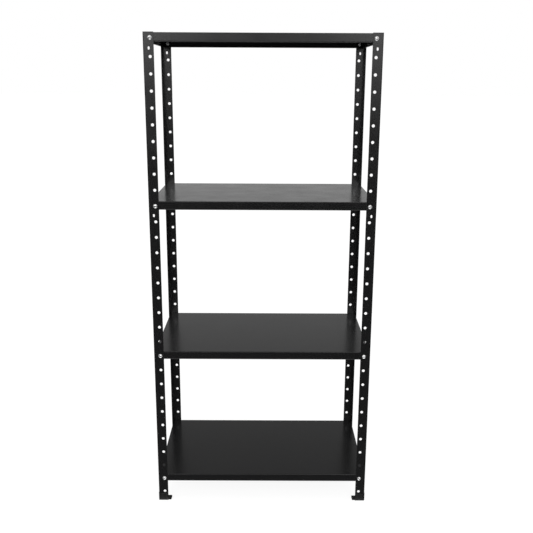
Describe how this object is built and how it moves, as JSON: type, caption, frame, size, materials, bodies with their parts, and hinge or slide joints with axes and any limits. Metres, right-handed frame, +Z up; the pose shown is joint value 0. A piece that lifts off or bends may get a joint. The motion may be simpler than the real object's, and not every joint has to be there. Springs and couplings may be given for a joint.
{
  "type": "bolted angle-post shelving unit",
  "caption": "Free-standing open rack: punched steel angle posts on plastic feet carry folded sheet shelves held by slotted bolts and nuts.",
  "frame": {"origin": "on the floor, in the middle of the footprint", "axes": "+X along the shelves to the right as seen from the front, +Y from the front to the rear, +Z up"},
  "size_m": [0.69, 0.4044, 1.5],
  "materials": {
    "black_powder_coat": "semi-gloss black powder coat",
    "black_plastic": "moulded black plastic, lightly textured",
    "zinc_plated_steel": "bright zinc plating"
  },
  "bodies": {
    "root": {"post_front_left": "black_powder_coat", "post_front_right": "black_powder_coat", "post_rear_left": "black_powder_coat", "post_rear_right": "black_powder_coat", "shelf_top": "black_powder_coat", "shelf_second": "black_powder_coat", "shelf_third": "black_powder_coat", "shelf_bottom": "black_powder_coat", "foot_front_left": "black_plastic", "foot_front_right": "black_plastic", "foot_rear_left": "black_plastic", "foot_rear_right": "black_plastic", "bolts_top_front": "zinc_plated_steel", "bolts_top_rear": "zinc_plated_steel", "bolts_second_front": "zinc_plated_steel", "bolts_second_rear": "zinc_plated_steel", "bolts_third_front": "zinc_plated_steel", "bolts_third_rear": "zinc_plated_steel", "bolts_bottom_front": "zinc_plated_steel", "bolts_bottom_rear": "zinc_plated_steel", "nuts_top_front": "zinc_plated_steel", "nuts_top_rear": "zinc_plated_steel", "nuts_second_front": "zinc_plated_steel", "nuts_second_rear": "zinc_plated_steel", "nuts_third_front": "zinc_plated_steel", "nuts_third_rear": "zinc_plated_steel", "nuts_bottom_front": "zinc_plated_steel", "nuts_bottom_rear": "zinc_plated_steel"}
  },
  "joints": []
}
